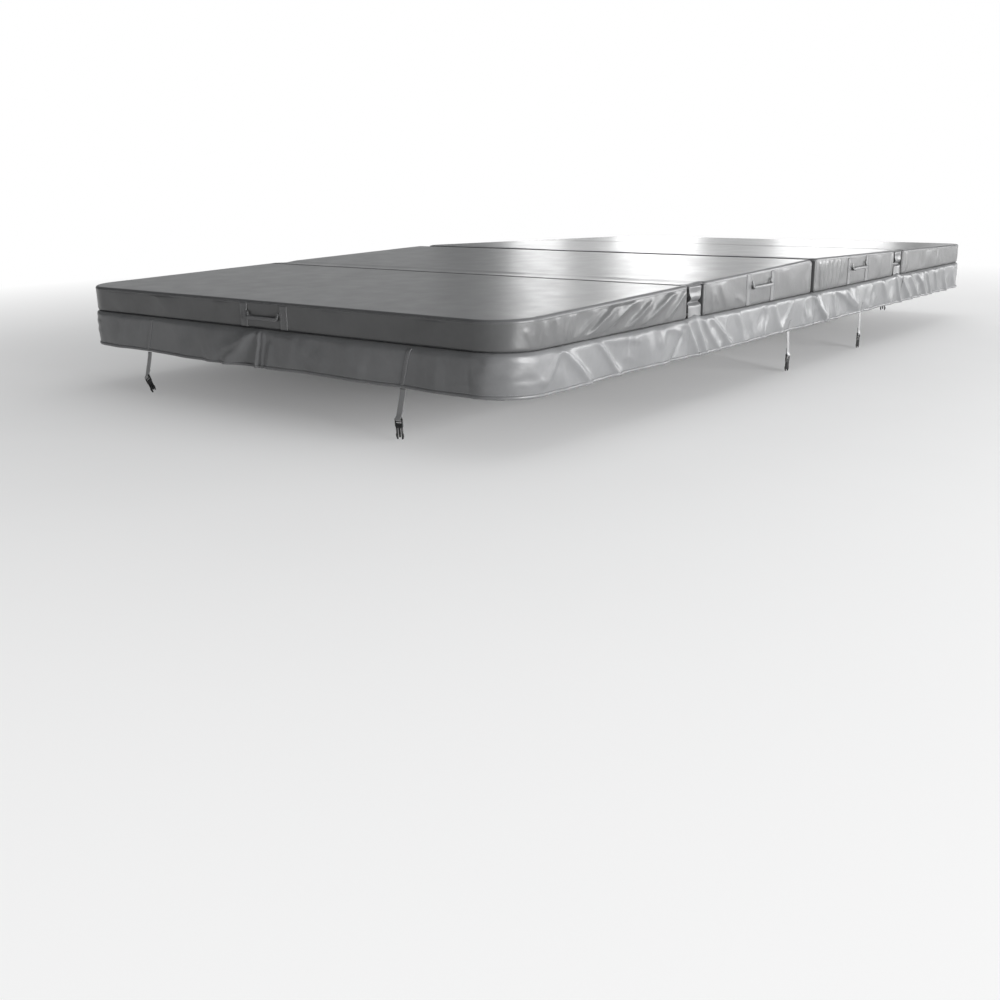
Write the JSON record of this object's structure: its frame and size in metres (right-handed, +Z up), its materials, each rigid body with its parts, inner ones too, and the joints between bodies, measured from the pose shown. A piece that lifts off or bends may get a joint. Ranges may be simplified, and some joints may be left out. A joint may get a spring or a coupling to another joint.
{
  "type": "spa cover",
  "caption": "Long insulated spa cover in grey vinyl: two folding halves of tapered foam panels, a gathered skirt, grab handles and tie-down straps with clips.",
  "frame": {"origin": "the middle of the whole cover, on the underside that rests on the spa's rim, where the two halves meet", "axes": "+X across the spa, +Y along it, +Z up out of the top; cover A lies at -Y and cover B at +Y"},
  "size_m": [2.352, 4.352, 0.4646],
  "materials": {
    "jacket_vinyl": "satin",
    "skirt_vinyl": "satin",
    "hinge_vinyl": "satin",
    "handle_vinyl": "satin",
    "strap_vinyl": "matte",
    "liner_vinyl": "matte",
    "seal_vinyl": "matte",
    "foam": "matte",
    "galvanised_steel": "satin",
    "clip_plastic": "satin",
    "zip_tape": "matte",
    "zip_slider": "satin"
  },
  "bodies": {
    "cover_a_inner": {"foam_core_a_inner": "foam", "jacket_a_inner": "jacket_vinyl", "liner_a_inner": "liner_vinyl", "steel_channel_a_inner": "galvanised_steel", "hinge_strip_a": "hinge_vinyl", "hinge_seal_a": "seal_vinyl", "hinge_tab_a_left": "hinge_vinyl", "hinge_tab_a_right": "hinge_vinyl", "skirt_a_left": "skirt_vinyl", "skirt_a_right": "skirt_vinyl", "zip_tape_a_inner": "zip_tape"},
    "cover_a_outer": {"foam_core_a_outer": "foam", "jacket_a_outer": "jacket_vinyl", "liner_a_outer": "liner_vinyl", "steel_channel_a_outer": "galvanised_steel", "skirt_a_outer": "skirt_vinyl", "zip_tape_a_outer": "zip_tape"},
    "handle_a_end": {"handle_a_end": "handle_vinyl"},
    "handle_a_left": {"handle_a_left": "handle_vinyl"},
    "handle_a_right": {"handle_a_right": "handle_vinyl"},
    "tie_strap_a_end_left": {"tie_strap_a_end_left": "strap_vinyl"},
    "strap_clip_a_end_left": {"strap_clip_a_end_left": "clip_plastic"},
    "tie_strap_a_end_right": {"tie_strap_a_end_right": "strap_vinyl"},
    "strap_clip_a_end_right": {"strap_clip_a_end_right": "clip_plastic"},
    "tie_strap_a_left": {"tie_strap_a_left": "strap_vinyl"},
    "strap_clip_a_left": {"strap_clip_a_left": "clip_plastic"},
    "tie_strap_a_right": {"tie_strap_a_right": "strap_vinyl"},
    "strap_clip_a_right": {"strap_clip_a_right": "clip_plastic"},
    "zip_slider_a_outer": {"zip_slider_a_outer": "zip_slider"},
    "zip_slider_a_inner": {"zip_slider_a_inner": "zip_slider"},
    "cover_b_inner": {"foam_core_b_inner": "foam", "jacket_b_inner": "jacket_vinyl", "liner_b_inner": "liner_vinyl", "steel_channel_b_inner": "galvanised_steel", "hinge_strip_b": "hinge_vinyl", "hinge_seal_b": "seal_vinyl", "hinge_tab_b_left": "hinge_vinyl", "hinge_tab_b_right": "hinge_vinyl", "skirt_b_left": "skirt_vinyl", "skirt_b_right": "skirt_vinyl", "zip_tape_b_inner": "zip_tape"},
    "cover_b_outer": {"foam_core_b_outer": "foam", "jacket_b_outer": "jacket_vinyl", "liner_b_outer": "liner_vinyl", "steel_channel_b_outer": "galvanised_steel", "skirt_b_outer": "skirt_vinyl", "zip_tape_b_outer": "zip_tape"},
    "handle_b_end": {"handle_b_end": "handle_vinyl"},
    "handle_b_left": {"handle_b_left": "handle_vinyl"},
    "handle_b_right": {"handle_b_right": "handle_vinyl"},
    "tie_strap_b_end_left": {"tie_strap_b_end_left": "strap_vinyl"},
    "strap_clip_b_end_left": {"strap_clip_b_end_left": "clip_plastic"},
    "tie_strap_b_end_right": {"tie_strap_b_end_right": "strap_vinyl"},
    "strap_clip_b_end_right": {"strap_clip_b_end_right": "clip_plastic"},
    "tie_strap_b_left": {"tie_strap_b_left": "strap_vinyl"},
    "strap_clip_b_left": {"strap_clip_b_left": "clip_plastic"},
    "tie_strap_b_right": {"tie_strap_b_right": "strap_vinyl"},
    "strap_clip_b_right": {"strap_clip_b_right": "clip_plastic"},
    "zip_slider_b_outer": {"zip_slider_b_outer": "zip_slider"},
    "zip_slider_b_inner": {"zip_slider_b_inner": "zip_slider"}
  },
  "joints": [
    {"name": "fold_a", "type": "hinge", "parent": "cover_a_inner", "child": "cover_a_outer", "pos_m": [0, -1.05, 0.12758], "axis": [-1, 0, 0], "range_deg": [0, 180], "deforming": ["hinge_strip_a"]},
    {"name": "handle_a_end_lift", "type": "hinge", "parent": "cover_a_outer", "child": "handle_a_end", "pos_m": [0.025, -2.1555, 0.06], "axis": [-1, 0, 0], "range_deg": [0, 135]},
    {"name": "handle_a_left_lift", "type": "hinge", "parent": "cover_a_inner", "child": "handle_a_left", "pos_m": [-1.1555, -0.515, 0.09802], "axis": [0, 1, 0], "range_deg": [0, 135]},
    {"name": "handle_a_right_lift", "type": "hinge", "parent": "cover_a_inner", "child": "handle_a_right", "pos_m": [1.1555, -0.515, 0.09802], "axis": [0, -1, 0], "range_deg": [0, 135]},
    {"name": "tie_strap_a_end_left_swing", "type": "hinge", "parent": "cover_a_outer", "child": "tie_strap_a_end_left", "pos_m": [-0.7, -2.1493, -0.142], "axis": [-1, 0, 0], "range_deg": [-80, 80]},
    {"name": "strap_clip_a_end_left_swing", "type": "hinge", "parent": "tie_strap_a_end_left", "child": "strap_clip_a_end_left", "pos_m": [-0.7, -2.1493, -0.247], "axis": [-1, 0, 0], "range_deg": [-80, 80]},
    {"name": "tie_strap_a_end_right_swing", "type": "hinge", "parent": "cover_a_outer", "child": "tie_strap_a_end_right", "pos_m": [0.7, -2.1493, -0.142], "axis": [-1, 0, 0], "range_deg": [-80, 80]},
    {"name": "strap_clip_a_end_right_swing", "type": "hinge", "parent": "tie_strap_a_end_right", "child": "strap_clip_a_end_right", "pos_m": [0.7, -2.1493, -0.247], "axis": [-1, 0, 0], "range_deg": [-80, 80]},
    {"name": "tie_strap_a_left_swing", "type": "hinge", "parent": "cover_a_inner", "child": "tie_strap_a_left", "pos_m": [-1.1493, -0.58, -0.142], "axis": [0, 1, 0], "range_deg": [-80, 80]},
    {"name": "strap_clip_a_left_swing", "type": "hinge", "parent": "tie_strap_a_left", "child": "strap_clip_a_left", "pos_m": [-1.1493, -0.58, -0.247], "axis": [0, 1, 0], "range_deg": [-80, 80]},
    {"name": "tie_strap_a_right_swing", "type": "hinge", "parent": "cover_a_inner", "child": "tie_strap_a_right", "pos_m": [1.1493, -0.23, -0.142], "axis": [0, -1, 0], "range_deg": [-80, 80]},
    {"name": "strap_clip_a_right_swing", "type": "hinge", "parent": "tie_strap_a_right", "child": "strap_clip_a_right", "pos_m": [1.1493, -0.23, -0.247], "axis": [0, -1, 0], "range_deg": [-80, 80]},
    {"name": "zip_slider_a_outer_pull", "type": "slide", "parent": "cover_a_outer", "child": "zip_slider_a_outer", "axis": [-1, 0, 0], "range_m": [0, 2.06]},
    {"name": "zip_slider_a_inner_pull", "type": "slide", "parent": "cover_a_inner", "child": "zip_slider_a_inner", "axis": [-1, 0, 0], "range_m": [0, 2.06]},
    {"name": "cover_b_lift", "type": "slide", "parent": "cover_a_inner", "child": "cover_b_inner", "axis": [0, 0, 1], "range_m": [0, 0.5]},
    {"name": "fold_b", "type": "hinge", "parent": "cover_b_inner", "child": "cover_b_outer", "pos_m": [0, 1.05, 0.12758], "axis": [1, 0, 0], "range_deg": [0, 180], "deforming": ["hinge_strip_b"]},
    {"name": "handle_b_end_lift", "type": "hinge", "parent": "cover_b_outer", "child": "handle_b_end", "pos_m": [-0.025, 2.1555, 0.06], "axis": [1, 0, 0], "range_deg": [0, 135]},
    {"name": "handle_b_left_lift", "type": "hinge", "parent": "cover_b_inner", "child": "handle_b_left", "pos_m": [1.1555, 0.515, 0.09802], "axis": [0, -1, 0], "range_deg": [0, 135]},
    {"name": "handle_b_right_lift", "type": "hinge", "parent": "cover_b_inner", "child": "handle_b_right", "pos_m": [-1.1555, 0.515, 0.09802], "axis": [0, 1, 0], "range_deg": [0, 135]},
    {"name": "tie_strap_b_end_left_swing", "type": "hinge", "parent": "cover_b_outer", "child": "tie_strap_b_end_left", "pos_m": [0.7, 2.1493, -0.142], "axis": [1, 0, 0], "range_deg": [-80, 80]},
    {"name": "strap_clip_b_end_left_swing", "type": "hinge", "parent": "tie_strap_b_end_left", "child": "strap_clip_b_end_left", "pos_m": [0.7, 2.1493, -0.247], "axis": [1, 0, 0], "range_deg": [-80, 80]},
    {"name": "tie_strap_b_end_right_swing", "type": "hinge", "parent": "cover_b_outer", "child": "tie_strap_b_end_right", "pos_m": [-0.7, 2.1493, -0.142], "axis": [1, 0, 0], "range_deg": [-80, 80]},
    {"name": "strap_clip_b_end_right_swing", "type": "hinge", "parent": "tie_strap_b_end_right", "child": "strap_clip_b_end_right", "pos_m": [-0.7, 2.1493, -0.247], "axis": [1, 0, 0], "range_deg": [-80, 80]},
    {"name": "tie_strap_b_left_swing", "type": "hinge", "parent": "cover_b_inner", "child": "tie_strap_b_left", "pos_m": [1.1493, 0.58, -0.142], "axis": [0, -1, 0], "range_deg": [-80, 80]},
    {"name": "strap_clip_b_left_swing", "type": "hinge", "parent": "tie_strap_b_left", "child": "strap_clip_b_left", "pos_m": [1.1493, 0.58, -0.247], "axis": [0, -1, 0], "range_deg": [-80, 80]},
    {"name": "tie_strap_b_right_swing", "type": "hinge", "parent": "cover_b_inner", "child": "tie_strap_b_right", "pos_m": [-1.1493, 0.23, -0.142], "axis": [0, 1, 0], "range_deg": [-80, 80]},
    {"name": "strap_clip_b_right_swing", "type": "hinge", "parent": "tie_strap_b_right", "child": "strap_clip_b_right", "pos_m": [-1.1493, 0.23, -0.247], "axis": [0, 1, 0], "range_deg": [-80, 80]},
    {"name": "zip_slider_b_outer_pull", "type": "slide", "parent": "cover_b_outer", "child": "zip_slider_b_outer", "axis": [1, 0, 0], "range_m": [0, 2.06]},
    {"name": "zip_slider_b_inner_pull", "type": "slide", "parent": "cover_b_inner", "child": "zip_slider_b_inner", "axis": [1, 0, 0], "range_m": [0, 2.06]}
  ]
}
